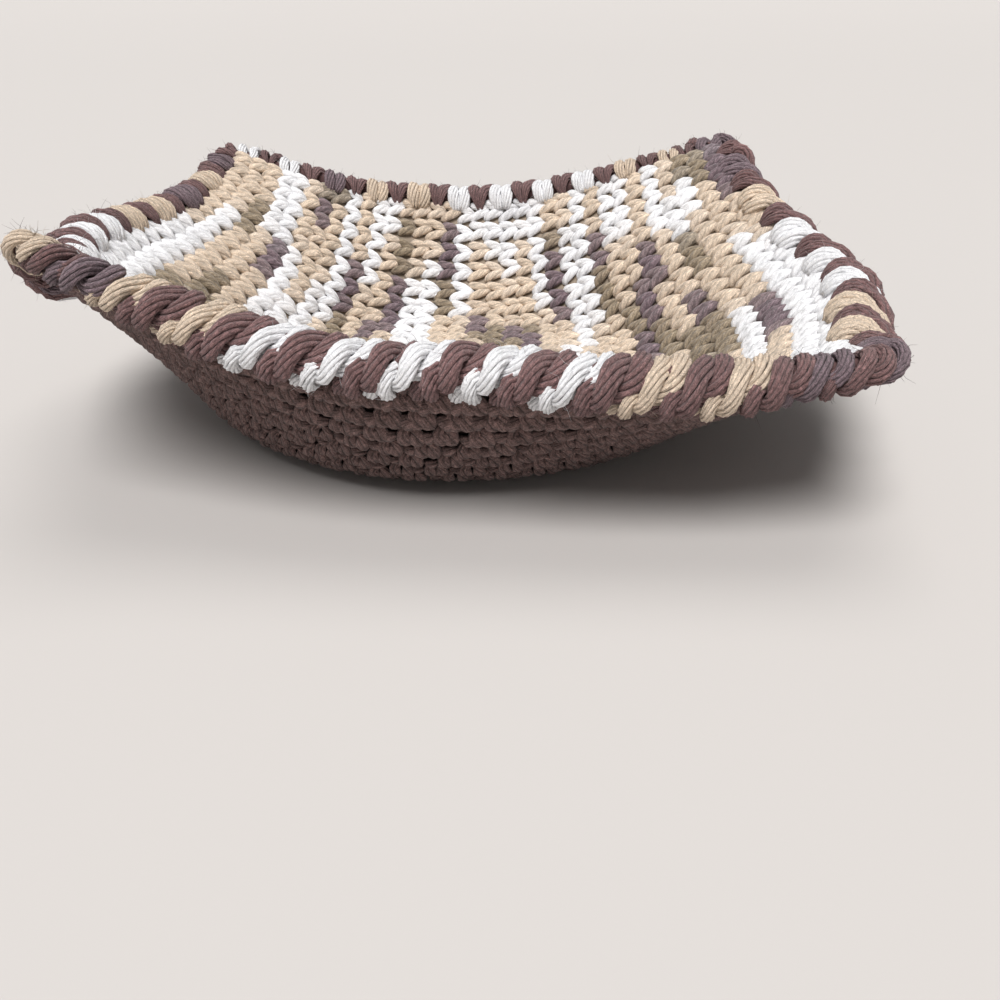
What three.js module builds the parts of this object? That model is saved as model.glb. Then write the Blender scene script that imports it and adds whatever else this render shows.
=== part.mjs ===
// Crochet bowl cozy: two square crocheted panels, laid back to back and joined all round
// by an edging that draws the sides up, so that the square stands as a shallow four-cornered dish.
// Millimetres, +Z up. The origin is the middle of the round foot, on the table.

import * as THREE from 'three';

// ---- The cloth laid flat ----------------------------------------------------------------------
const flatHalf = 113; // half the side of the finished square, edging included
const cornerRadius = 14; // arc in which the edging turns a corner
const panelThickness = 3.8; // one layer of crochet
const panelGap = 0.4; // air between the two layers
const panelInset = 8; // the panels stop this far inside the finished edge

// ---- The edging: a rounded band that grips both panels in a channel ----------------------------
const edgingDepth = 13; // from the finished edge down to the ends of its two flanges
const edgingHalfWidth = 6; // from the middle of the cloth to its outer or inner face
const edgingRound = 5; // depth of the rounded top
const edgingArcSteps = 6; // facets in the rounded top
const flangeThickness = 1.5; // at the free end of a flange
const channelClearance = 0.4; // between the channel and the panels

// ---- How the cloth stands ---------------------------------------------------------------------
const footRadius = 52; // round patch that lies flat on the table
const footTurn = 18; // length of cloth over which the wall turns up from the foot
const wallRun = 80; // length of cloth over which its rise changes from foot to rim
const gatherRun = 60; // length of wall over which the gather grows to its full amount
const sideGather = 0.02; // radians by which the cloth is gathered towards the middle of each side

// One row every 45 degrees, anticlockwise from +X: the wall's rise in degrees just above the foot
// and one wallRun higher, and the length that the cloth has there for each flat length.
const wallTable = [
  { toward: 'right side', footRise: 42, rimRise: 18, stretch: 1.17 },
  { toward: 'back right corner', footRise: 60, rimRise: 20, stretch: 0.94 },
  { toward: 'back side', footRise: 46, rimRise: 60, stretch: 1.08 },
  { toward: 'back left corner', footRise: 60, rimRise: 24, stretch: 0.86 },
  { toward: 'left side', footRise: 56, rimRise: 30, stretch: 1.2 },
  { toward: 'front left corner', footRise: 56, rimRise: 36, stretch: 0.84 },
  { toward: 'front side', footRise: 40, rimRise: 116, stretch: 0.98 },
  { toward: 'front right corner', footRise: 35, rimRise: 22, stretch: 0.84 },
];

// ---- Facets -----------------------------------------------------------------------------------
const cellsAcross = 26; // cells along each side of a panel
const edgeCrowding = 1.2; // radians of a sine that packs the cells closer towards the edges
const slopeStep = 0.05; // flat length over which the cloth's direction is measured

const middleHeight = panelGap / 2 + panelThickness; // the gap's middle, above the table at the foot

const smooth = (t) => t * t * (3 - 2 * t);
const clamp01 = (t) => Math.min(Math.max(t, 0), 1);
const radians = THREE.MathUtils.degToRad;

// A column of the wall table, blended between its rows.
function wallValue(direction, column) {
  const turns = direction / (2 * Math.PI);
  const place = (turns - Math.floor(turns)) * wallTable.length;
  const row = Math.floor(place) % wallTable.length;
  const next = (row + 1) % wallTable.length;
  return THREE.MathUtils.lerp(wallTable[row][column], wallTable[next][column], smooth(place % 1));
}

// Run and height gained along a length of cloth whose rise turns evenly from one angle to another.
function bend(length, fromRise, toRise) {
  const halfTurn = (toRise - fromRise) / 2;
  const chord = Math.abs(halfTurn) < 1e-9 ? length : (length * Math.sin(halfTurn)) / halfTurn;
  return { run: chord * Math.cos(fromRise + halfTurn), height: chord * Math.sin(fromRise + halfTurn) };
}

// Where the middle of the cloth stands, for a point (u, v) of the flat square.
function standing(u, v) {
  const flatDistance = Math.hypot(u, v);
  const direction = Math.atan2(v, u);
  const footRise = radians(wallValue(direction, 'footRise'));
  const rimRise = radians(wallValue(direction, 'rimRise'));
  const pastFoot = Math.max(flatDistance - footRadius, 0);
  const climbed = pastFoot * wallValue(direction, 'stretch');
  const turning = Math.min(climbed, footTurn);
  const straight = climbed - turning;
  const low = bend(turning, 0, (footRise * turning) / footTurn);
  const high = bend(straight, footRise, footRise + ((rimRise - footRise) * straight) / wallRun);
  const reach = Math.min(flatDistance, footRadius) + low.run + high.run;
  const gather = sideGather * Math.sin(4 * direction) * smooth(clamp01(pastFoot / gatherRun));
  const turned = direction - gather;
  const height = middleHeight + low.height + high.height;
  return new THREE.Vector3(reach * Math.cos(turned), reach * Math.sin(turned), height);
}

// The same point moved off the middle of the cloth, towards the bowl if the offset is positive.
function layerPoint(u, v, offset) {
  const alongU = standing(u + slopeStep, v).sub(standing(u - slopeStep, v));
  const alongV = standing(u, v + slopeStep).sub(standing(u, v - slopeStep));
  const towardBowl = alongU.cross(alongV).normalize();
  return standing(u, v).addScaledVector(towardBowl, offset);
}

// Distance from the centre of the flat square to its outline, taken in by an inset, in a direction.
function outlineDistance(direction, inset) {
  const half = flatHalf - inset;
  const radius = cornerRadius - inset;
  const straightHalf = radius > 0 ? half - radius : half;
  const longer = Math.max(Math.abs(Math.cos(direction)), Math.abs(Math.sin(direction)));
  const shorter = Math.min(Math.abs(Math.cos(direction)), Math.abs(Math.sin(direction)));
  const toSide = half / longer;
  if (toSide * shorter <= straightHalf) {
    return toSide;
  }
  const alongCorner = straightHalf * (longer + shorter);
  return alongCorner + Math.sqrt(alongCorner ** 2 - 2 * straightHalf ** 2 + radius ** 2);
}

function outlinePoint(direction, inset, offset) {
  const distance = outlineDistance(direction, inset);
  return layerPoint(distance * Math.cos(direction), distance * Math.sin(direction), offset);
}

// A cell line's place across a panel, from -1 to 1.
function cellLine(index) {
  const even = (2 * index) / cellsAcross - 1;
  return Math.sin(edgeCrowding * even) / Math.sin(edgeCrowding);
}

// The cell corners round the edge of a panel in order, anticlockwise from the front left corner.
function edgeCells() {
  const cells = [];
  for (let k = 0; k < cellsAcross; k += 1) cells.push([k, 0]);
  for (let k = 0; k < cellsAcross; k += 1) cells.push([cellsAcross, k]);
  for (let k = cellsAcross; k > 0; k -= 1) cells.push([k, cellsAcross]);
  for (let k = cellsAcross; k > 0; k -= 1) cells.push([0, k]);
  return cells;
}

function solid(points, triangles) {
  const geometry = new THREE.BufferGeometry();
  geometry.setAttribute('position', new THREE.Float32BufferAttribute(points.flatMap((p) => p.toArray()), 3));
  geometry.setIndex(triangles.flat());
  geometry.computeVertexNormals();
  return geometry;
}

// One crocheted panel: a sheet between two offsets from the middle of the cloth.
function panelGeometry(underOffset, topOffset) {
  const lines = cellsAcross + 1;
  const layerSize = lines * lines;
  const points = [];
  for (const offset of [underOffset, topOffset]) {
    for (let j = 0; j < lines; j += 1) {
      for (let i = 0; i < lines; i += 1) {
        const across = cellLine(i);
        const along = cellLine(j);
        const share = Math.max(Math.abs(across), Math.abs(along));
        const direction = Math.atan2(along, across);
        const distance = share * outlineDistance(direction, panelInset);
        points.push(layerPoint(distance * Math.cos(direction), distance * Math.sin(direction), offset));
      }
    }
  }
  const triangles = [];
  for (let j = 0; j < cellsAcross; j += 1) {
    for (let i = 0; i < cellsAcross; i += 1) {
      const a = j * lines + i;
      const b = a + 1;
      const c = a + lines + 1;
      const d = a + lines;
      triangles.push([a, c, b], [a, d, c]);
      triangles.push([a + layerSize, b + layerSize, c + layerSize], [a + layerSize, c + layerSize, d + layerSize]);
    }
  }
  const rim = edgeCells().map(([i, j]) => j * lines + i);
  rim.forEach((here, k) => {
    const next = rim[(k + 1) % rim.length];
    triangles.push([here, next, next + layerSize], [here, next + layerSize, here + layerSize]);
  });
  return solid(points, triangles);
}

// The edging's section as [depth below the finished edge, offset from the middle of the cloth].
function edgingSection() {
  const arc = [];
  for (let k = 0; k <= edgingArcSteps; k += 1) {
    const angle = (Math.PI * k) / edgingArcSteps;
    arc.push([edgingRound * (1 - Math.sin(angle)), edgingHalfWidth * Math.cos(angle)]);
  }
  const channelHalf = middleHeight + channelClearance;
  const channelTop = panelInset - channelClearance;
  const flangeOuter = channelHalf + flangeThickness;
  return [
    ...arc,
    [edgingDepth, -flangeOuter],
    [edgingDepth, -channelHalf],
    [channelTop, -channelHalf],
    [channelTop, channelHalf],
    [edgingDepth, channelHalf],
    [edgingDepth, flangeOuter],
  ];
}

// The edging: its section carried round the outline, at the same places as the panels' edge cells.
function edgingGeometry() {
  const section = edgingSection();
  const directions = edgeCells().map(([i, j]) => Math.atan2(cellLine(j), cellLine(i)));
  const points = directions.flatMap((direction) =>
    section.map(([depth, offset]) => outlinePoint(direction, depth, offset)),
  );
  const triangles = [];
  directions.forEach((_, ring) => {
    const nextRing = (ring + 1) % directions.length;
    section.forEach((__, side) => {
      const nextSide = (side + 1) % section.length;
      const a = ring * section.length + side;
      const b = nextRing * section.length + side;
      const c = nextRing * section.length + nextSide;
      const d = ring * section.length + nextSide;
      triangles.push([a, c, b], [a, d, c]);
    });
  });
  return solid(points, triangles);
}

const solidBrownYarn = new THREE.MeshStandardMaterial({ color: 0x5b4a46, roughness: 0.95, metalness: 0 });
const variegatedYarn = new THREE.MeshStandardMaterial({ color: 0xcfc2b1, roughness: 0.95, metalness: 0 });
const mixedEdgingYarn = new THREE.MeshStandardMaterial({ color: 0x7b6160, roughness: 0.95, metalness: 0 });

function part(name, geometry, material) {
  const mesh = new THREE.Mesh(geometry, material);
  mesh.name = name;
  return mesh;
}

const cozy = new THREE.Group();
const layerNear = panelGap / 2;
cozy.add(part('outer_panel', panelGeometry(-middleHeight, -layerNear), solidBrownYarn));
cozy.add(part('inner_panel', panelGeometry(layerNear, middleHeight), variegatedYarn));
cozy.add(part('edging', edgingGeometry(), mixedEdgingYarn));

export default cozy;
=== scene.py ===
import math

import bpy
import numpy as np
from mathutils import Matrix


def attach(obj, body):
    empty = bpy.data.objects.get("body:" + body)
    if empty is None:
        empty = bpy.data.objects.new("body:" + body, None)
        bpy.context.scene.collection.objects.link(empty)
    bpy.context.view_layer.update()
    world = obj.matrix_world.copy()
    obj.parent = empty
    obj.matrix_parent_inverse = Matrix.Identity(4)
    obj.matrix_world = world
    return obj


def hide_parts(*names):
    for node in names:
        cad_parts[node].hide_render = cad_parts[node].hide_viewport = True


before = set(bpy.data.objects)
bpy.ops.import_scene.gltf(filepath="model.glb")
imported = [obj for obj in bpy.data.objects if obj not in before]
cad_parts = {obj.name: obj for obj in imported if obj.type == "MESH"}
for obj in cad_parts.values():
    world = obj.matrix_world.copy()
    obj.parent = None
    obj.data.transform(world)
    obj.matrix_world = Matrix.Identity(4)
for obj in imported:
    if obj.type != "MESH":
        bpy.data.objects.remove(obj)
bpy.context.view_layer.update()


# ---- Camera -------------------------------------------------------------------------------------
# It stands in front of the cozy and a little to the right of its middle, and looks down into it.
camera_place = (0.020, -0.2746, 0.100)
camera_dip = 25.7  # degrees below the horizon
camera_turn = 1.5  # degrees to the left of straight back
camera_data = bpy.data.cameras.new("camera")
camera_data.lens = 36
camera_data.sensor_width = 36
camera_data.clip_start = 0.01
camera = bpy.data.objects.new("camera", camera_data)
camera.location = camera_place
camera.rotation_euler = (math.radians(90 - camera_dip), 0, math.radians(camera_turn))
bpy.context.scene.collection.objects.link(camera)
bpy.context.scene.camera = camera


# ---- Shader maths -------------------------------------------------------------------------------
# The floor is the first thing with a material, so the class that turns Python expressions into
# nodes stands here. It wraps one socket; every other node comes from its method add.
class Wire:
    def __init__(self, tree, socket=None):
        self.tree = tree
        self.socket = socket

    def add(self, kind, settings=None, inputs=None, output=0):
        """Any node of this material: its type, its settings, the values or links of its sockets."""
        node = self.tree.nodes.new("ShaderNode" + kind)
        for name, value in (settings or {}).items():
            setattr(node, name, value)
        for name, value in (inputs or {}).items():
            if isinstance(value, Wire):
                self.tree.links.new(value.socket, node.inputs[name])
            else:
                node.inputs[name].default_value = value
        return Wire(self.tree, node.outputs[output])

    def math(self, operation, first, second=0.0):
        return self.add("Math", {"operation": operation}, {0: first, 1: second})

    def __add__(self, other):
        return self.math("ADD", self, other)

    def __rsub__(self, other):
        return self.math("SUBTRACT", other, self)

    def __mul__(self, other):
        return self.math("MULTIPLY", self, other)

    def __pow__(self, other):
        return self.math("POWER", self, other)

    def __abs__(self):
        return self.math("ABSOLUTE", self)

    __radd__ = __add__
    __rmul__ = __mul__

    def sine(self):
        return self.math("SINE", self)

    def cosine(self):
        return self.math("COSINE", self)

    def shade(self, colour):
        """A colour made darker or lighter by this value."""
        scale = self.add("CombineXYZ", None, {0: self, 1: self, 2: self})
        return self.add("VectorMath", {"operation": "MULTIPLY"}, {0: colour, 1: scale})


def new_material(name, roughness, sheen=0.0, specular=0.3):
    """A material with one Principled shader, and the start of its expressions."""
    material = bpy.data.materials.new(name)
    material.use_nodes = True
    shader = material.node_tree.nodes["Principled BSDF"]
    shader.inputs["Roughness"].default_value = roughness
    shader.inputs["Specular IOR Level"].default_value = specular
    shader.inputs["Sheen Weight"].default_value = sheen
    shader.inputs["Sheen Roughness"].default_value = 0.5
    return material, shader, Wire(material.node_tree)


def connect(wire, shader, name):
    """Feeds a socket of a shader from an expression."""
    wire.tree.links.new(wire.socket, shader.inputs[name])


# ---- Floor and light ----------------------------------------------------------------------------
# A plain pale floor that curves up far behind, under soft light from above and from the front.
floor_flat = 3.0  # radius of the level part
level_rings = (0.4, 1.2, floor_flat)
cove_radius = 80.0
cove_arc = math.radians(30)
cove_rings = 24
floor_bearings = 64
floor_colour = (0.585, 0.558, 0.537)


def link(name, mesh, material):
    """A piece of the scene, from its mesh and its one material."""
    piece = bpy.data.objects.new(name, mesh)
    piece.data.materials.append(material)
    bpy.context.scene.collection.objects.link(piece)
    return piece


rise = np.linspace(0, 1, cove_rings + 1)[1:] ** 2 * cove_arc  # closest where the cove begins
ring_reach = np.concatenate([level_rings, floor_flat + cove_radius * np.sin(rise)])
ring_height = np.concatenate([np.zeros(len(level_rings)), cove_radius * (1 - np.cos(rise))])
bearing = np.arange(floor_bearings) * 2 * math.pi / floor_bearings
floor_points = np.stack(
    [
        np.outer(ring_reach, np.cos(bearing)).ravel(),
        np.outer(ring_reach, np.sin(bearing)).ravel(),
        np.repeat(ring_height, len(bearing)),
    ],
    -1,
)
floor_index = np.arange(len(floor_points)).reshape(len(ring_reach), len(bearing))
inner_ring, outer_ring = floor_index[:-1], floor_index[1:]
floor_faces = np.stack(
    [inner_ring, outer_ring, np.roll(outer_ring, -1, 1), np.roll(inner_ring, -1, 1)], -1
).reshape(-1, 4)
floor_mesh = bpy.data.meshes.new("floor")
floor_mesh.from_pydata(floor_points.tolist(), [], [floor_index[0].tolist(), *floor_faces.tolist()])
floor_mesh.polygons.foreach_set("use_smooth", [True] * len(floor_mesh.polygons))
floor_material, floor_shader, floor_wire = new_material("floor_paint", 0.9)
mottle = floor_wire.add("TexNoise", None, {"Scale": 9.0, "Detail": 3.0})
connect((0.985 + 0.03 * mottle).shade(floor_colour), floor_shader, "Base Color")
floor = link("floor", floor_mesh, floor_material)


def soft_sun(name, toward, elevation, strength, softness, colour):
    """Light from a direction in degrees, anticlockwise from the right, at a height in degrees.
    Softness is how wide it looks, in degrees too."""
    data = bpy.data.lights.new(name, "SUN")
    data.energy = strength
    data.angle = math.radians(softness)
    data.color = colour
    made = bpy.data.objects.new(name, data)
    made.rotation_euler = (math.radians(90 - elevation), 0, math.radians(toward + 90))
    bpy.context.scene.collection.objects.link(made)


soft_sun("ceiling_light", 75, 72, 1.0, 40, (1.0, 0.985, 0.96))
soft_sun("front_light", 262, 56, 3.05, 30, (1.0, 0.99, 0.985))

# The world is the soft light from all round. Where a low view looks past the floor's far edge, it
# shows the colour of the lit floor instead.
sky_light = (0.206, 0.208, 0.214, 1)
lit_floor = (0.783, 0.745, 0.716, 1)
world = bpy.data.worlds.new("studio")
world.use_nodes = True
studio = world.node_tree.nodes["Background"]
world_wire = Wire(world.node_tree)
seen_straight = world_wire.add("LightPath")
# Of a Mix node, sockets 6 and 7 take its two colours, and output 2 gives the mixed one.
mixed = {0: seen_straight, 6: sky_light, 7: lit_floor}
connect(world_wire.add("Mix", {"data_type": "RGBA"}, mixed, 2), studio, "Color")
studio.inputs["Strength"].default_value = 1.0
bpy.context.scene.world = world
bpy.context.scene.view_settings.view_transform = "Standard"


# ---- Outer panel --------------------------------------------------------------------------------
# A square of linen stitch in brown worsted cotton: in each row one single crochet and one chain in
# turn, each single crochet worked under a chain of the row below, so that slots alternate like
# bricks. It lies under the inner panel, and its middle rests on the table.
mm = 0.001
flat_half = 113 * mm  # half the side of the flat square, edging included
corner_radius = 14 * mm  # arc in which the edging turns a corner
panel_inset = 8 * mm  # the panels stop this far inside the finished edge
foot_radius = 52 * mm  # round patch that lies flat on the table
foot_turn = 18 * mm  # length of cloth over which the wall turns up from the foot
wall_run = 80 * mm  # length of cloth over which its rise changes from foot to rim
gather_run = 60 * mm  # length of wall over which the gather grows to its full amount
side_gather = 0.02  # radians by which the cloth is gathered towards the middle of each side
middle_height = 4 * mm  # the middle of the cloth, above the table at the foot

# The wall's rise in degrees just above the foot and one wall_run higher, and its stretch: one
# value every 45 degrees, anticlockwise from the right side.
wall = {
    "foot_rise": (42, 60, 46, 60, 56, 56, 40, 35),
    "rim_rise": (18, 20, 60, 24, 30, 36, 116, 22),
    "stretch": (1.17, 0.94, 1.08, 0.86, 1.20, 0.84, 0.98, 0.84),
}


def ease(share):
    """A share from 0 to 1 that leaves and arrives gently."""
    return share * share * (3 - 2 * share)


def wall_value(direction, column):
    """One of the wall's rows, blended between its values, in a direction from the middle."""
    values = np.array(wall[column], float)
    place = direction / (2 * np.pi) % 1 * len(values)
    row = np.floor(place).astype(int) % len(values)
    share = ease(place % 1)
    return values[row] * (1 - share) + values[(row + 1) % len(values)] * share


def bend(length, low_rise, high_rise):
    """Run and height gained along cloth whose rise turns evenly from one angle to another."""
    half_turn = (high_rise - low_rise) / 2
    chord = length * np.sinc(half_turn / np.pi)
    return chord * np.cos(low_rise + half_turn), chord * np.sin(low_rise + half_turn)


def standing(u, v):
    """Where the middle of the cloth stands, for points (u, v) of the flat square."""
    distance = np.hypot(u, v)
    direction = np.arctan2(v, u)
    foot_rise = np.radians(wall_value(direction, "foot_rise"))
    rim_rise = np.radians(wall_value(direction, "rim_rise"))
    past_foot = np.maximum(distance - foot_radius, 0)
    climbed = past_foot * wall_value(direction, "stretch")
    turning = np.minimum(climbed, foot_turn)
    straight = climbed - turning
    low_run, low_height = bend(turning, 0, foot_rise * turning / foot_turn)
    turned_rise = foot_rise + (rim_rise - foot_rise) * straight / wall_run
    high_run, high_height = bend(straight, foot_rise, turned_rise)
    reach = np.minimum(distance, foot_radius) + low_run + high_run
    gather = side_gather * np.sin(4 * direction) * ease(np.clip(past_foot / gather_run, 0, 1))
    height = middle_height + low_height + high_height
    turned = direction - gather
    return np.stack([reach * np.cos(turned), reach * np.sin(turned), height], -1)


def unit(vectors):
    """The same directions, with a length of 1."""
    return vectors / np.maximum(np.linalg.norm(vectors, axis=-1, keepdims=True), 1e-12)


def square_to(vectors, forward):
    """Unit vectors at right angles to forward, as near as can be to the given ones."""
    return unit(vectors - (vectors * forward).sum(-1, keepdims=True) * forward)


def off_cloth(u, v, offset):
    """The same points moved off the middle of the cloth, towards the bowl if offset is positive."""
    step = 0.05 * mm
    along_u = standing(u + step, v) - standing(u - step, v)
    along_v = standing(u, v + step) - standing(u, v - step)
    return standing(u, v) + unit(np.cross(along_u, along_v)) * np.asarray(offset)[..., None]


def outline_distance(direction, inset):
    """From the middle of the flat square to its outline, taken in by an inset, in a direction."""
    half = flat_half - inset
    radius = max(corner_radius - inset, 0)
    straight = half - radius
    longer = np.maximum(abs(np.cos(direction)), abs(np.sin(direction)))
    shorter = np.minimum(abs(np.cos(direction)), abs(np.sin(direction)))
    to_side = half / longer
    along = straight * (longer + shorter)
    to_arc = along + np.sqrt(np.maximum(along**2 - 2 * straight**2 + radius**2, 0))
    return np.where(to_side * shorter <= straight, to_side, to_arc)


def build(name, points, corner_lists, uv_maps=None, dye=None):
    """A smooth mesh from its points and the corners of its faces, with its UV maps by corner."""
    mesh = bpy.data.meshes.new(name)
    corners = np.concatenate([c.ravel() for c in corner_lists])
    counts = np.concatenate([np.full(len(c), c.shape[1]) for c in corner_lists])
    starts = np.concatenate([[0], np.cumsum(counts)[:-1]])
    mesh.vertices.add(len(points))
    mesh.vertices.foreach_set("co", points.astype(np.float32).ravel())
    mesh.loops.add(len(corners))
    mesh.loops.foreach_set("vertex_index", corners.astype(np.int32))
    mesh.polygons.add(len(counts))
    mesh.polygons.foreach_set("loop_start", starts.astype(np.int32))
    mesh.polygons.foreach_set("use_smooth", np.ones(len(counts), bool))
    mesh.update(calc_edges=True)
    for map_name, values in (uv_maps or {}).items():
        layer = mesh.uv_layers.new(name=map_name)
        layer.uv.foreach_set("vector", values.astype(np.float32).ravel())
    if dye is not None:
        attribute = mesh.attributes.new("dye", "FLOAT_COLOR", "POINT")
        rgba = np.concatenate([dye, np.ones((len(dye), 1))], 1)
        attribute.data.foreach_set("color", rgba.astype(np.float32).ravel())
    mesh.validate()
    return mesh


def shade_sheet(name, low_offset, high_offset):
    """A thin sheet under a panel's stitches, which shows only deep between them and carries the
    painted shade there.
    """
    cells = 48  # along each side
    line = np.linspace(-1, 1, cells + 1)
    along, across = np.meshgrid(line, line, indexing="ij")
    share = np.maximum(abs(along), abs(across))
    direction = np.arctan2(along, across)
    distance = share * outline_distance(direction, panel_inset)
    u, v = distance * np.cos(direction), distance * np.sin(direction)
    layers = [off_cloth(u, v, np.full_like(u, offset)) for offset in (low_offset, high_offset)]
    index = np.arange((cells + 1) ** 2).reshape(cells + 1, cells + 1)
    a, b, c, d = index[:-1, :-1], index[:-1, 1:], index[1:, 1:], index[1:, :-1]
    under = np.stack([a, d, c, b], -1).reshape(-1, 4)
    top = np.stack([a, b, c, d], -1).reshape(-1, 4) + index.size
    rim = np.concatenate([index[0, :-1], index[:-1, -1], index[-1, :0:-1], index[:0:-1, 0]])
    after = np.roll(rim, -1)
    side = np.stack([rim, after, after + index.size, rim + index.size], -1)
    flat = np.stack([(u / flat_half + 1) / 2, (v / flat_half + 1) / 2], -1).reshape(-1, 2)
    half_map = [0.48, 0.96]  # the underside takes the left half of the map, the top the right half
    apart = np.concatenate([flat * half_map + [0.01, 0.02], flat * half_map + [0.51, 0.02]])
    faces = [under, top, side]
    spots = np.concatenate([apart[f].reshape(-1, 2) for f in faces])
    points = np.concatenate([layer.reshape(-1, 3) for layer in layers])
    return build(name, points, faces, {"OFBake": spots})


def smooth_path(points, rings):
    """Evenly spaced rows on a smooth curve through the given ones, with their spacing measured in
    their first three columns."""
    fine_steps = 12  # between two given rows, before the spacing is made even
    points = np.asarray(points, float)
    ends = np.concatenate([2 * points[:1] - points[1:2], points, 2 * points[-1:] - points[-2:-1]])
    t = np.linspace(0, 1, fine_steps + 1)[:-1, None]
    dense = []
    for before, here, there, beyond in zip(ends[:-3], ends[1:-2], ends[2:-1], ends[3:]):
        steep = (there - before) * t
        curved = (2 * before - 5 * here + 4 * there - beyond) * t**2
        bent = (3 * here - before - 3 * there + beyond) * t**3
        dense.append((2 * here + steep + curved + bent) / 2)
    dense = np.concatenate(dense + [points[-1:]])
    steps = np.linalg.norm(np.diff(dense[:, :3], axis=0), axis=1)
    length = np.concatenate([[0], np.cumsum(steps)])
    even = np.linspace(0, length[-1], rings)
    return np.stack([np.interp(even, length, dense[:, k]) for k in range(points.shape[1])], -1)


def run_lengths(paths):
    """Metres along each path at each of its rings."""
    steps = np.linalg.norm(np.diff(paths, axis=1), axis=-1)
    return np.concatenate([np.zeros((len(paths), 1)), np.cumsum(steps, 1)], 1)


def yarn_mesh(name, paths, radii, sides, dyes, outward=None, squash=(1, 1)):
    """Closed tubes, one along each path (tube, ring, xyz), with a radius and a dye at each ring.
    Squash scales it outward and sideways. Map Yarn holds the metres along a tube and the share of
    the way round it, from the outward side; OFBake gives each tube its own cell."""
    tubes, rings, _ = paths.shape
    forward = unit(np.gradient(paths, axis=1))
    if outward is None:  # any side to begin with, carried along without twist
        side = np.cross(forward[:, 0], forward[:, 0][:, [2, 0, 1]] + 0.01)
        outward = []
        for ring in range(rings):
            side = square_to(side, forward[:, ring])
            outward.append(side)
        outward = np.stack(outward, 1)
    outward = square_to(outward, forward)
    upward = np.cross(forward, outward)
    angle = np.arange(sides) * 2 * np.pi / sides
    outer_part = squash[0] * np.cos(angle)[:, None] * outward[:, :, None]
    around = outer_part + squash[1] * np.sin(angle)[:, None] * upward[:, :, None]
    points = paths[:, :, None] + np.broadcast_to(radii, (tubes, rings))[:, :, None, None] * around
    index = np.arange(tubes * rings * sides).reshape(tubes, rings, sides)
    nearer, further = index[:, :-1], index[:, 1:]
    quads = [nearer, np.roll(nearer, -1, 2), np.roll(further, -1, 2), further]
    caps = np.concatenate([index[:, 0, ::-1], index[:, -1]])
    length = run_lengths(paths)
    wide = math.ceil(math.sqrt(tubes))
    cell = np.stack([np.arange(tubes) % wide, np.arange(tubes) // wide], -1) / wide
    in_cell = (0.04, 0.96)  # a tube stays clear of its cell's edges
    ring_share = np.linspace(*in_cell, rings)
    side_share = np.linspace(*in_cell, sides + 1)

    def corners(ring_step, side_step):
        ring = np.arange(rings - 1) + ring_step
        turn = np.arange(sides) + side_step
        shape = (tubes, rings - 1, sides)
        along = np.broadcast_to(length[:, ring][:, :, None], shape)
        round_it = np.broadcast_to(turn / sides, shape)
        x = cell[:, None, None, 0] + np.broadcast_to(ring_share[ring][:, None] / wide, shape)
        y = cell[:, None, None, 1] + np.broadcast_to(side_share[turn] / wide, shape)
        return np.stack([along, round_it, x, y], -1)

    quad_maps = [corners(0, 0), corners(0, 1), corners(1, 1), corners(1, 0)]
    cap_cell = np.concatenate([cell, cell])
    cap_ring = np.repeat([ring_share[0], ring_share[-1]], tubes)[:, None] / wide
    cap_along = np.concatenate([length[:, :1], length[:, -1:]])
    cap_side = side_share[:-1] / wide
    cap_x, cap_y = cap_cell[:, :1] + cap_ring, cap_cell[:, 1:] + cap_side
    cap_maps = np.stack(np.broadcast_arrays(cap_along, cap_side * wide, cap_x, cap_y), -1)
    maps = np.concatenate([np.stack(quad_maps, -2).reshape(-1, 4), cap_maps.reshape(-1, 4)])
    faces = [np.stack(quads, -1).reshape(-1, 4), caps]
    dye = np.repeat(np.broadcast_to(dyes, (tubes, rings, 3)).reshape(-1, 3), sides, axis=0)
    return build(name, points.reshape(-1, 3), faces, {"OFBake": maps[:, 2:], "Yarn": maps[:, :2]}, dye)


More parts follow.
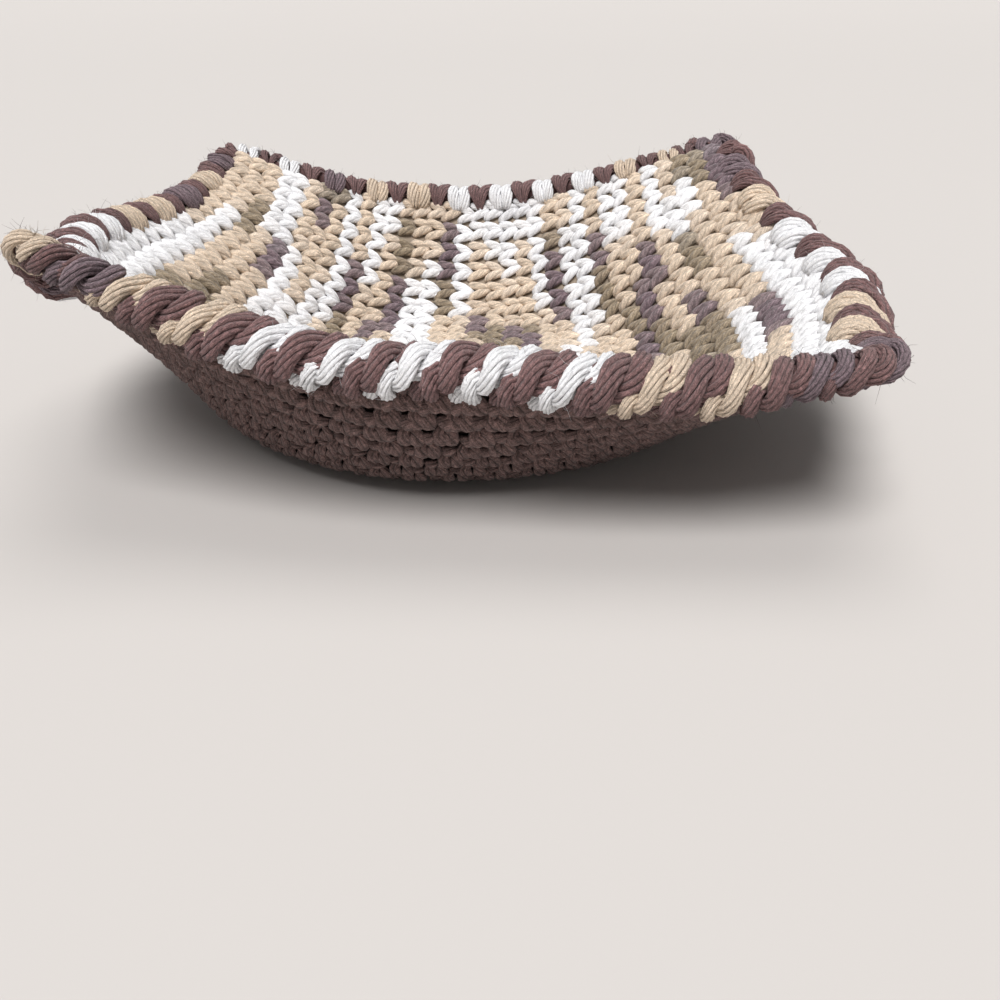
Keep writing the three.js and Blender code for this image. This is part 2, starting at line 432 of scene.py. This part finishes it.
def yarn_material(name, plies, twist, groove_depth, groove_shade_strength, lint_share, sheen):
    """Matt cotton yarn: its dye, with painted shade in the grooves between its plies, and fine fibres
    that lie along them. Without plies, it is one ply of a yarn, and shade is painted on it away from
    its outward side. Twist is the length of yarn in which the plies turn once round."""
    fibres_round, fibres_along = 18.0, 500.0  # how fine the fibres are, each way
    fibre_height, nap_height = 0.30 * mm, 0.40 * mm
    material, shader, wire = new_material(name, 0.95, sheen)
    dye = wire.add("Attribute", {"attribute_name": "dye"})
    place = wire.add("UVMap", {"uv_map": "Yarn"})
    along = wire.add("SeparateXYZ", None, {0: place})
    around = wire.add("SeparateXYZ", None, {0: place}, 1)
    turn = around + along * (1 / twist)
    if plies:
        crest = abs((turn * (math.pi * plies)).sine()) ** 0.55
    else:
        strand = abs((turn * (4 * math.pi)).sine()) ** 0.5
        # Without plies the crest falls away from the outward side, so the shade painted below darkens
        # the ply's inner side.
        crest = (0.5 + 0.5 * (around * (2 * math.pi)).cosine()) * (0.65 + 0.35 * strand)
    fibre_place = wire.add("CombineXYZ", None, {0: turn * fibres_round, 1: along * fibres_along})
    fibres = wire.add("TexNoise", None, {"Vector": fibre_place, "Scale": 1.0, "Detail": 2.0})
    body = wire.add("TexCoord", None, None, 3)  # the place in the piece, in metres
    crinkle = {"Vector": body, "Scale": 1900.0, "Detail": 2.0, "Distortion": 1.5}
    nap = wire.add("TexNoise", None, crinkle)
    patches = wire.add("TexNoise", None, {"Vector": body, "Scale": 220.0, "Detail": 2.0})
    shade_and_lint_strength = 1 - 0.75 * wire.add("SeparateXYZ", None, {0: dye}, 1)  # least in pale yarn
    # Painted shade: the dye is darkened where the crest falls, in the grooves between plies and on a
    # ply's inner side.
    painted_groove_shade = 1 - groove_shade_strength * shade_and_lint_strength * (1 - crest)
    lint = 1 - lint_share * shade_and_lint_strength * (1 - (4.0 * fibres * nap) ** 1.5)
    tone = painted_groove_shade * lint * (0.80 + 0.40 * patches)
    connect(tone.shade(dye), shader, "Base Color")
    height = crest * groove_depth + fibres * fibre_height + nap * nap_height
    bump = wire.add("Bump", None, {"Strength": 1.0, "Distance": 1.0, "Height": height})
    connect(bump, shader, "Normal")
    return material


def painted_shade_material(name, colour, deepest_shade, spread):
    """Painted shade for what shows only deep between stitches: a plain matt colour, darkened and
    mottled from its darkest share up.
    """
    material, shader, wire = new_material(name, 1.0)
    mottle = wire.add("TexNoise", None, {"Scale": 900.0, "Detail": 2.0})
    connect((deepest_shade + spread * mottle).shade(tuple(colour)), shader, "Base Color")
    return material


def srgb(red, green, blue):
    """A colour given as 0 to 255, as a shader needs it."""
    share = np.array([red, green, blue]) / 255
    return np.where(share <= 0.04045, share / 12.92, ((share + 0.055) / 1.055) ** 2.4)


brown = srgb(114, 91, 87)
outer_columns = 24
outer_rows = 38
stitch_field = 104 * mm  # the stitches fill the square from minus to plus this, both ways
strand_inset = 7 * mm  # and those nearer the finished edge than this are left out

# One single crochet, from its hole under the chain below, as [share of the stitch's width, share
# of the row's height, millimetres off the cloth's middle, radius in millimetres].
outer_leg = [
    (-0.08, 0.08, 0.6, 1.00),
    (-0.12, 0.14, 1.9, 1.25),
    (-0.15, 0.34, 2.7, 1.40),
    (-0.17, 0.60, 2.7, 1.40),
    (-0.15, 0.84, 2.0, 1.20),
    (0.00, 0.96, 1.2, 1.00),
]
outer_legs = outer_leg + [(-across, up, off, radius) for across, up, off, radius in outer_leg[-2::-1]]
# The chain between two of them, which lies over the hole of the next row.
outer_chain = [
    (0.29, 0.34, 1.3, 1.10),
    (0.38, 0.44, 2.3, 1.30),
    (0.50, 0.48, 2.8, 1.40),
    (0.62, 0.44, 2.3, 1.30),
    (0.71, 0.34, 1.3, 1.10),
]
outer_squash = (0.68, 1.25)  # the yarn of this firm fabric lies flat
# How thick the legs and the chains are, and how far the chains stand out, at these numbers of rows
# from the first or the last one: the edging packs the nearest rows, and the others are more open.
rows_from_edge = (1.8, 3.2, 6)
leg_swell = (1.16, 0.98, 0.88)
chain_swell = (1.36, 1.0, 0.78)
chain_stand = (1.0, 0.9, 0.8)

draw = np.random.default_rng(7)  # every unevenness of the yarn and its stitches


def stitch_paths(strand, rings, columns, rows, brick):
    """One strand of each stitch of a panel, in working order, as places across and up its rows,
    offsets off the cloth and radii, with the column and the row of each. Brick is the share of a
    stitch by which every second row steps aside."""
    path = smooth_path(strand, rings)
    width, height = 2 * stitch_field / columns, 2 * stitch_field / rows
    row, column = np.divmod(np.arange(rows * columns), columns)
    every_second = row % 2
    loose = draw.normal(0, 0.05, (len(row), 2, 1))
    spread = draw.normal(1, 0.08, (len(row), 2, 1))
    mirrored = (1 - 2 * every_second)[:, None] * path[:, 0] * spread[:, 0]
    across = ((column + 0.5 + brick * every_second)[:, None] + mirrored + loose[:, 0]) * width
    up = ((row + 0.5)[:, None] + path[:, 1] * spread[:, 1] + loose[:, 1]) * height
    swell = draw.uniform(0.95, 1.05, (len(row), 1))
    offset = np.broadcast_to(path[:, 2] * mm, across.shape)
    return across - stitch_field, stitch_field - up, offset, path[:, 3] * mm * swell, column, row


def within(u, v, inset):
    """Which strands have their middle inside the outline."""
    u, v = u.mean(1), v.mean(1)
    return np.hypot(u, v) < outline_distance(np.arctan2(v, u), inset)


brown_yarn = yarn_material("brown_yarn", 3, 15 * mm, 0.40 * mm, 0.65, 1.0, 0.1)
# Under the stitches lies a dark brown sheet: painted shade for the deep slots between them.
brown_painted_shade = painted_shade_material("brown_painted_shade", brown, 0.3, 0.3)
outer_shade_sheet = link("outer_shade_sheet", shade_sheet("outer_shade_sheet", -0.7 * mm, -0.2 * mm), brown_painted_shade)

outer_pieces = []
for name, strand, rings, sides, swell, stand in (
    ("outer_legs", outer_legs, 15, 7, leg_swell, (1, 1, 1)),
    ("outer_chains", outer_chain, 8, 8, chain_swell, chain_stand),
):
    u, v, offset, radius, _, row = stitch_paths(strand, rings, outer_columns, outer_rows, 0.5)
    keep = within(u, v, strand_inset)
    rows_in = np.minimum(row, outer_rows - 1 - row)[:, None]
    radius = radius * np.interp(rows_in, rows_from_edge, swell)
    offset = offset * np.interp(rows_in, rows_from_edge, stand)
    dyes = brown * draw.normal(1, 0.05, (len(u), 1, 1))
    paths = off_cloth(u, v, -offset)
    below = off_cloth(u, v, -offset - mm) - paths
    mesh = yarn_mesh(name, paths[keep], radius[keep], sides, dyes[keep], below[keep], outer_squash)
    outer_pieces.append(link(name, mesh, brown_yarn))

for piece in [outer_shade_sheet, *outer_pieces]:
    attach(piece, "root")
    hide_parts("outer_panel")


# ---- Inner panel --------------------------------------------------------------------------------
# A square of single crochet in variegated worsted cotton, dyed in lengths of white, tan and mauve
# brown. Its rows run from front to back and it was worked from the right, there and back again.
white = srgb(250, 250, 252)
tan = srgb(226, 206, 184)
mauve = srgb(128, 110, 116)
olive = srgb(156, 140, 118)
inner_columns = 29
inner_rows = 34

# One single crochet, a V from its left top down to its foot and up to its right top, in the same
# four columns as outer_leg.
inner_v = [
    (-0.42, 0.42, 0.9, 1.00),
    (-0.33, 0.30, 2.0, 1.35),
    (-0.18, -0.12, 2.5, 1.60),
    (-0.02, -0.56, 1.8, 1.35),
    (0.10, -0.80, 0.7, 1.10),
    (0.14, -0.56, 1.8, 1.35),
    (0.22, -0.12, 2.5, 1.60),
    (0.32, 0.30, 2.0, 1.35),
    (0.40, 0.42, 0.9, 1.00),
]
inner_squash = (0.85, 1.05)

# Lengths of one dye, counted in stitches. The rows next to the edging show where they fall, each
# from its front end; from row to row the usual run of dyes drifts.
usual_dyes = [(white, 7), (tan, 5), (olive, 2), (mauve, 3), (tan, 4)]
usual_runs = 60  # more than the panel takes; the rest of the yarn is cut off
listed_rows = {
    0: [(white, 20), (tan, 4), (mauve, 5)],
    1: [(white, 21), (tan, 5), (olive, 3)],
    2: [(tan, 11), (mauve, 5), (tan, 8), (white, 3), (olive, 2)],
    3: [(white, 16), (tan, 4), (olive, 3), (white, 3), (tan, 3)],
    4: [(olive, 8), (tan, 4), (olive, 5), (mauve, 2), (tan, 5), (white, 5)],
    5: [(tan, 7), (olive, 3), (white, 3), (olive, 4), (tan, 4), (mauve, 3), (tan, 5)],
    29: [(tan, 7), (white, 6), (olive, 4), (tan, 4), (mauve, 3), (white, 5)],
    30: [(white, 5), (mauve, 4), (white, 6), (olive, 4), (tan, 5), (white, 5)],
    31: [(tan, 5), (olive, 4), (mauve, 3), (olive, 4), (tan, 7), (olive, 3), (tan, 3)],
    32: [(tan, 6), (white, 18), (tan, 5)],
    33: [(tan, 6), (mauve, 3), (white, 12), (tan, 8)],
}


def soften(run):
    """Each stitch takes a little of the dye of the next ones, as the dye crept along the yarn."""
    return 0.84 * run + 0.08 * np.roll(run, 1, 0) + 0.08 * np.roll(run, -1, 0)


def repeated(lengths, times):
    """The dye of each stitch of a run of dyes, with lengths that vary a little."""
    runs = []
    for dye, count in lengths * times:
        runs.append(np.repeat(dye[None], max(count + draw.integers(-1, 2), 1), 0))
    return np.concatenate(runs)


inner_dye = repeated(usual_dyes, usual_runs)[: inner_rows * inner_columns]
inner_dye = inner_dye.reshape(inner_rows, inner_columns, 3)
inner_dye[1::2] = inner_dye[1::2, ::-1]  # every second row is worked back
for listed_row, lengths in listed_rows.items():
    run = np.concatenate([np.repeat(dye[None], count, 0) for dye, count in lengths])
    inner_dye[listed_row] = run[:inner_columns]
inner_dye = np.stack([soften(run) for run in inner_dye])

variegated_yarn = yarn_material("variegated_yarn", 3, 15 * mm, 0.35 * mm, 0.60, 0.8, 0.2)
# Under the stitches lies a dark tan sheet: painted shade for the deep gaps between them.
tan_painted_shade = painted_shade_material("variegated_painted_shade", tan, 0.3, 0.3)
inner_shade_sheet = link("inner_shade_sheet", shade_sheet("inner_shade_sheet", 0.4 * mm, 1.0 * mm), tan_painted_shade)

v, u, offset, radius, column, row = stitch_paths(inner_v, 17, inner_columns, inner_rows, 0)
dyes = inner_dye[row, column][:, None] * draw.normal(1, 0.03, (len(u), 1, 1))
paths = off_cloth(u, v, offset)
above = off_cloth(u, v, offset + mm) - paths
keep = within(u, v, strand_inset)
inner_pieces = []
for name, half in (("inner_stitches_left", u.mean(1) < 0), ("inner_stitches_right", u.mean(1) >= 0)):
    part = keep & half
    mesh = yarn_mesh(name, paths[part], radius[part], 8, dyes[part], above[part], inner_squash)
    inner_pieces.append(link(name, mesh, variegated_yarn))
for piece in [inner_shade_sheet, *inner_pieces]:
    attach(piece, "root")
    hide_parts("inner_panel")


# ---- Edging -------------------------------------------------------------------------------------
# One round of thick slanted stitches through both panels, brown and variegated yarn in turn. Each
# stitch is two strands of plied yarn that turn once round each other: two short legs on the
# outside, a fat top that climbs to the right over the edge, and two strands down the inside.
edging_stitches = 85
stitches_by_side = (22.6, 16.4, 22.9, 23.1)  # front, right, back, left
first_stitch = 0.9  # the first one starts this many stitches past the front left corner
usual_width = 7.5 * mm  # of one stitch, along the edge
measuring_depth = 5 * mm  # the edge is measured this far inside the finished one
measuring_points = 2001

# The rope's middle as [millimetres along the edge, depth below the finished edge, millimetres off
# the cloth's middle, half the distance between the two strands, thickness of a strand compared
# with its usual one, degrees that the strands have turned round each other, size of a brown and
# of a variegated stitch].
rope = [
    (0.0, 12.6, -2.4, 1.45, 0.70, 0, 0.96, 1.02),
    (0.0, 11.4, -4.0, 1.55, 0.76, 0, 0.98, 1.02),
    (0.1, 10.0, -4.9, 1.55, 0.82, 12, 1.00, 0.99),
    (0.7, 8.6, -5.4, 1.45, 0.86, 56, 1.06, 0.93),
    (1.8, 7.3, -5.7, 1.45, 0.90, 122, 1.11, 0.88),
    (3.4, 6.0, -5.6, 1.55, 0.95, 196, 1.13, 0.88),
    (5.4, 4.9, -4.9, 1.70, 1.02, 262, 1.12, 0.91),
    (7.6, 4.1, -3.5, 1.85, 1.12, 314, 1.12, 0.94),
    (9.6, 3.8, -1.2, 1.95, 1.18, 350, 1.11, 0.95),
    (10.7, 4.4, 1.8, 1.85, 1.14, 366, 1.08, 0.99),
    (10.8, 6.0, 3.9, 1.75, 1.04, 366, 0.94, 1.07),
    (10.6, 8.2, 4.5, 1.70, 0.95, 362, 0.74, 1.18),
    (10.4, 10.2, 3.9, 1.45, 0.86, 360, 0.54, 1.22),
    (10.2, 11.8, 2.4, 1.00, 0.70, 360, 0.40, 1.20),
]
rope_rings = 26
strand_plies = 8
ply_radius = 0.57 * mm
ply_circle = 1.12 * mm  # radius on which the plies lie in a strand
strand_widening = 1.15  # a strand is wider along the cloth than off it
strand_flattening = 0.92
ply_twist = -30 * mm  # length in which the plies turn once round
corner_reach = 42 * mm  # the stitches are drawn flat this far from the middle of a corner
corner_thinning = 0.55  # share of their reach off the cloth that they lose there
corner_draw = 1.8 * mm  # and drawn out by this at the middle of a corner


def edge_flat(along, depth):
    """Flat places at a depth inside the finished edge, along metres anticlockwise from the middle
    of the front left corner."""
    straight = 2 * (flat_half - corner_radius)
    half_arc = corner_radius * math.pi / 4
    quarter = straight + 2 * half_arc
    side, on_side = np.divmod(along, quarter)
    before = np.clip(half_arc - on_side, 0, None)
    after = np.clip(on_side - half_arc - straight, 0, None)
    lean = (after - before) / corner_radius
    radius = corner_radius - depth
    x = np.clip(on_side - half_arc, 0, straight) - straight / 2 + radius * np.sin(lean)
    y = -(flat_half - corner_radius) - radius * np.cos(lean)
    turn = side * math.pi / 2
    return x * np.cos(turn) - y * np.sin(turn), x * np.sin(turn) + y * np.cos(turn)


flat_round = 8 * (flat_half - corner_radius) + 2 * math.pi * corner_radius
flat_steps = np.linspace(0, flat_round, measuring_points)
edge_line = off_cloth(*edge_flat(flat_steps, measuring_depth), 0 * flat_steps)
edge_steps = run_lengths(edge_line[None])[0]
edge_length = edge_steps[-1]
side_ends = np.interp(np.arange(5) * flat_round / 4, flat_steps, edge_steps)
side_counts = np.concatenate([[0], np.cumsum(stitches_by_side)])


def on_edge(along, depth, offset):
    """Points along the standing edge, measured in metres along it."""
    along, depth, offset = np.broadcast_arrays(along, depth, offset)
    u, v = edge_flat(np.interp(along % edge_length, edge_steps, flat_steps), depth)
    return off_cloth(u, v, offset)


def near_corner(along):
    """From 0 to 1 towards the middle of a corner, along the standing edge."""
    nearest = abs(along[..., None] % edge_length - side_ends).min(-1)
    return ease(np.clip(1 - nearest / corner_reach, 0, 1))


is_brown = np.arange(edging_stitches) % 2 == 0
route = smooth_path(rope, rope_rings)
start = np.interp(np.arange(edging_stitches) + first_stitch, side_counts, side_ends)[:, None]
stretch = np.gradient(start, axis=0) / usual_width
# A wider stitch is thicker too, though less so, and no two are quite alike in size, place or turn.
stitch_size = np.where(is_brown[:, None], route[:, 6], route[:, 7]) * stretch**0.7
stitch_size *= draw.normal(1, 0.04, (edging_stitches, 1))
loose = draw.normal(0, 0.4 * mm, (edging_stitches, 3, 1))
along = start + route[:, 0] * mm * stretch + loose[:, 0]
depth = route[:, 1] * mm + loose[:, 1] / 2
flatter = 1 - corner_thinning * near_corner(along)
offset = (route[:, 2] * mm + loose[:, 2] / 2) * flatter
depth = depth - corner_draw * near_corner(along)
middle = on_edge(along, depth, offset)
rope_forward = unit(np.gradient(middle, axis=1))
edge_step = on_edge(along + 0.5 * mm, depth, offset) - on_edge(along - 0.5 * mm, depth, offset)
across = square_to(edge_step, rope_forward)
outward = np.cross(across, rope_forward)
uneven_turn = draw.normal(0, 0.2, (edging_stitches, 1))
turned = np.radians(route[:, 5]) + uneven_turn * np.sin(np.radians(route[:, 5] / 2))
gap = route[:, 3, None] * mm * stitch_size[..., None]
thickness = route[:, 4] * stitch_size * (0.5 + 0.5 * flatter)

plies = {"paths": [], "outward": [], "radii": [], "stitch": []}
for strand in range(2):
    angle = (turned + strand * math.pi)[..., None]
    centre = middle + gap * (np.cos(angle) * across + np.sin(angle) * outward)
    strand_forward = unit(np.gradient(centre, axis=1))
    side = square_to(across, strand_forward)
    up = np.cross(side, strand_forward)
    length = run_lengths(centre)
    first_turn = draw.uniform(0, 1, (edging_stitches, 1))
    for ply in range(strand_plies):
        turn = 2 * math.pi * (ply / strand_plies + length / ply_twist + first_turn)[..., None]
        beside = np.cos(turn) * side * strand_widening + np.sin(turn) * up * strand_flattening
        slack = draw.normal(1, 0.07, (edging_stitches, 1, 1))
        plies["paths"].append(centre + ply_circle * slack * thickness[..., None] * beside)
        plies["outward"].append(beside)
        plies["radii"].append(ply_radius * thickness)
        plies["stitch"].append(np.arange(edging_stitches))
plies = {name: np.concatenate(parts) for name, parts in plies.items()}

# Lengths of one dye along the variegated yarn, counted in its own stitches from the front left.
edging_brown = srgb(128, 98, 97)
edging_dyes = [
    (tan, 2), (white, 5), (tan, 2), (mauve, 2), (tan, 2), (white, 3), (tan, 1), (mauve, 2),
    (tan, 2), (white, 4), (tan, 2), (mauve, 1), (white, 2),
    (mauve, 1), (tan, 1), (mauve, 1), (tan, 2), (white, 5), (mauve, 1), (tan, 1),
]
variegated = np.concatenate([np.repeat(dye[None], count, 0) for dye, count in edging_dyes])
stitch_dye = edging_brown * draw.normal(1, 0.05, (edging_stitches, 1))
stitch_dye[~is_brown] = variegated
stitch_dye[0] = mauve  # the round closes with a stitch of each yarn in place of the brown one
ply_material = yarn_material("plied_yarn", 0, 14 * mm, 0.20 * mm, 0.62, 0.9, 0.15)
edging_pieces = []
for name, chosen in (("edging_brown", is_brown), ("edging_variegated", ~is_brown)):
    keep = chosen[plies["stitch"]]
    dyes = stitch_dye[plies["stitch"]][keep][:, None]
    paths, radii, beside = plies["paths"][keep], plies["radii"][keep], plies["outward"][keep]
    edging_pieces.append(link(name, yarn_mesh(name, paths, radii, 5, dyes, beside), ply_material))

# Loose cotton fibres stand off the yarn, most of them from the outward side of its plies.
fibres_in_all = 3600
fibre_ply = draw.integers(0, len(plies["paths"]), fibres_in_all)
fibre_ring = draw.integers(4, rope_rings - 3, fibres_in_all)  # none at the buried ends
fibre_out = unit(plies["outward"][fibre_ply, fibre_ring])
fibre_root = plies["paths"][fibre_ply, fibre_ring] + fibre_out * ply_radius * 0.8
fibre_lean = unit(fibre_out + draw.normal(0, 0.6, (fibres_in_all, 3)))
fibre_bend = draw.normal(0, 0.35, (fibres_in_all, 3))
fibre_length = draw.uniform(1.0, 2.6, (fibres_in_all, 1)) * mm
fibre_paths = np.stack(
    [
        fibre_root,
        fibre_root + 0.5 * fibre_length * fibre_lean,
        fibre_root + fibre_length * (fibre_lean + fibre_bend),
    ],
    1,
)
fibre_radii = np.array([0.045, 0.035, 0.015]) * mm
fibre_dyes = stitch_dye[plies["stitch"][fibre_ply]][:, None]
fuzz_mesh = yarn_mesh("edging_fuzz", fibre_paths, fibre_radii, 3, fibre_dyes)
edging_pieces.append(link("edging_fuzz", fuzz_mesh, ply_material))

# The strands that run inside the edging, from stitch to stitch, fill it along the sides; their brown
# is darkened and mottled as painted shade of the depth inside the edging. At the corners some loops
# of the stitches are still open between their strands.
core_rings, core_sides = 184, 10
core_middle = 6.0  # millimetres below the finished edge
core_radius = 2.8  # millimetres
core_along = np.arange(core_rings)[:, None] * edge_length / core_rings
core_angle = np.arange(core_sides) * 2 * np.pi / core_sides
core_flatter = 1 - corner_thinning * near_corner(core_along)
core_depth = (core_middle + core_radius * np.cos(core_angle)) * mm
core_offset = core_radius * mm * np.sin(core_angle) * core_flatter
core_points = on_edge(core_along, core_depth, core_offset)
index = np.arange(core_rings * core_sides).reshape(core_rings, core_sides)
ahead = np.roll(index, -1, 0)
core_faces = np.stack([index, np.roll(index, -1, 1), np.roll(ahead, -1, 1), ahead], -1)
core_mesh = build("edging_core", core_points.reshape(-1, 3), [core_faces.reshape(-1, 4)])
core_shade_material = painted_shade_material("edging_core", edging_brown, 0.15, 0.8)
edging_pieces.append(link("edging_core", core_mesh, core_shade_material))

for piece in edging_pieces:
    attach(piece, "root")
    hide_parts("edging")
